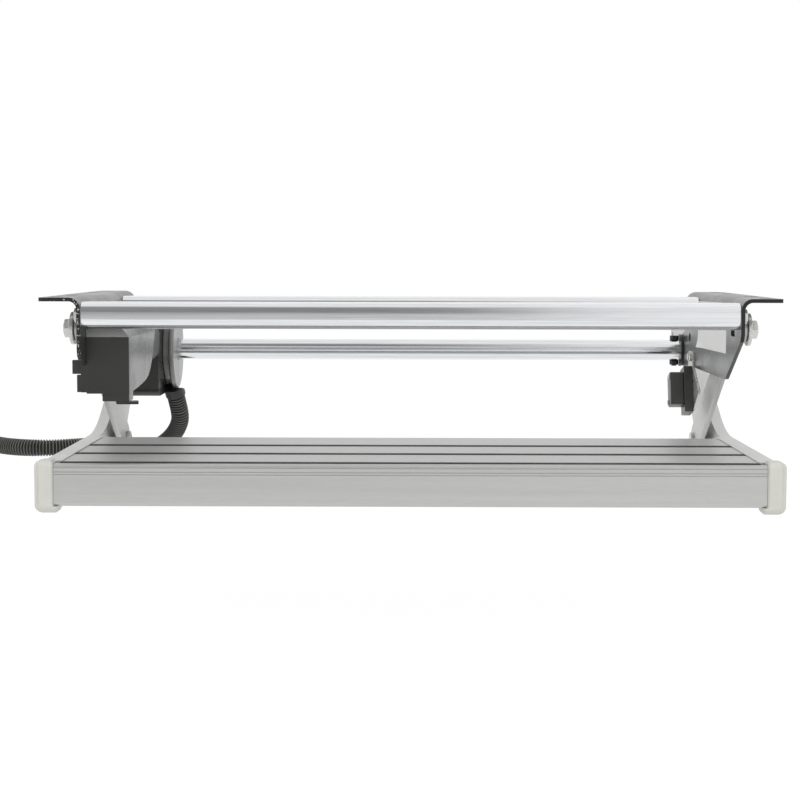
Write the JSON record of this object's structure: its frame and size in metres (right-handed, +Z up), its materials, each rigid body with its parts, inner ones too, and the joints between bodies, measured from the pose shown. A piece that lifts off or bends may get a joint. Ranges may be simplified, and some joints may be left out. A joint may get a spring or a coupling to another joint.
{
  "type": "caravan pull-out step",
  "caption": "Powered pull-out step for a caravan door: two bolt-on brackets with cross tubes, levers and a torque tube carry a grooved tread on arms, with its motor and hose.",
  "frame": {"origin": "on the ground, under the middle of the step without its hose", "axes": "+Z up, +X to the right as seen from in front of the tread, +Y back under the vehicle; the tread slides out towards -Y"},
  "size_m": [0.9402, 0.5015, 0.166],
  "materials": {
    "bracket_paint": "satin black paint",
    "polished_aluminium": "polished, drawn lengthwise",
    "anodised_aluminium": "satin anodised",
    "arm_aluminium": "satin",
    "zinc_steel": "zinc plated",
    "black_steel": "black",
    "dark_plastic": "moulded, fine grain",
    "bush_plastic": "smooth",
    "grey_plastic": "moulded, smooth",
    "cap_plastic": "moulded, smooth",
    "strip_rubber": "matt",
    "hose_plastic": "ribbed, satin"
  },
  "bodies": {
    "frame": {"left_bracket": "bracket_paint", "right_bracket": "bracket_paint", "front_cross_tube": "polished_aluminium", "rear_cross_tube": "polished_aluminium", "cross_tube_bolts": "zinc_steel", "lever_pivot_bolts": "zinc_steel", "lever_pivot_washers": "zinc_steel", "lever_pivot_nuts": "zinc_steel", "gearbox_screws": "zinc_steel", "switch_plate": "zinc_steel", "switch_screws": "zinc_steel", "motor_can": "black_steel", "gearbox_housing": "dark_plastic", "motor_cover": "dark_plastic", "cover_clip": "dark_plastic", "switch_base": "dark_plastic", "switch_box": "dark_plastic", "connector_plug": "dark_plastic", "left_shaft_bush": "bush_plastic", "right_shaft_bush": "bush_plastic", "gearbox_end_cover": "grey_plastic", "corrugated_hose": "hose_plastic", "hose_coil": "hose_plastic", "hose_gland": "hose_plastic"},
    "levers": {"left_lever": "arm_aluminium", "right_lever": "arm_aluminium", "lever_bushes": "bush_plastic"},
    "step": {"tread": "anodised_aluminium", "grip_strips": "strip_rubber", "left_arm": "arm_aluminium", "right_arm": "arm_aluminium", "arm_screws": "zinc_steel", "left_end_cap": "cap_plastic", "right_end_cap": "cap_plastic", "step_pivot_bolts": "zinc_steel", "step_pivot_spacers": "zinc_steel", "step_pivot_nuts": "zinc_steel", "crank_pins": "zinc_steel"},
    "drive_shaft": {"torque_tube": "polished_aluminium", "left_crank": "arm_aluminium", "right_crank": "arm_aluminium", "shaft_end_plugs": "dark_plastic", "shaft_bolt": "black_steel"}
  },
  "joints": [
    {"name": "lever_swing", "type": "hinge", "parent": "frame", "child": "levers", "pos_m": [0, -0.10634, 0.1385], "axis": [-1, 0, 0], "range_deg": [0, 57.58]},
    {"name": "step_level", "type": "hinge", "parent": "levers", "child": "step", "pos_m": [0, 0.06766, 0.028], "axis": [1, 0, 0], "range_deg": [0, 57.78]},
    {"name": "shaft_turn", "type": "hinge", "parent": "frame", "child": "drive_shaft", "pos_m": [0, 0.09466, 0.1105], "axis": [-1, 0, 0], "range_deg": [0, 131.43]}
  ],
  "couplings": [
    {"joint": "step_level", "follows": "lever_swing", "ratio": 1},
    {"joint": "shaft_turn", "follows": "lever_swing", "ratio": 2.279}
  ]
}
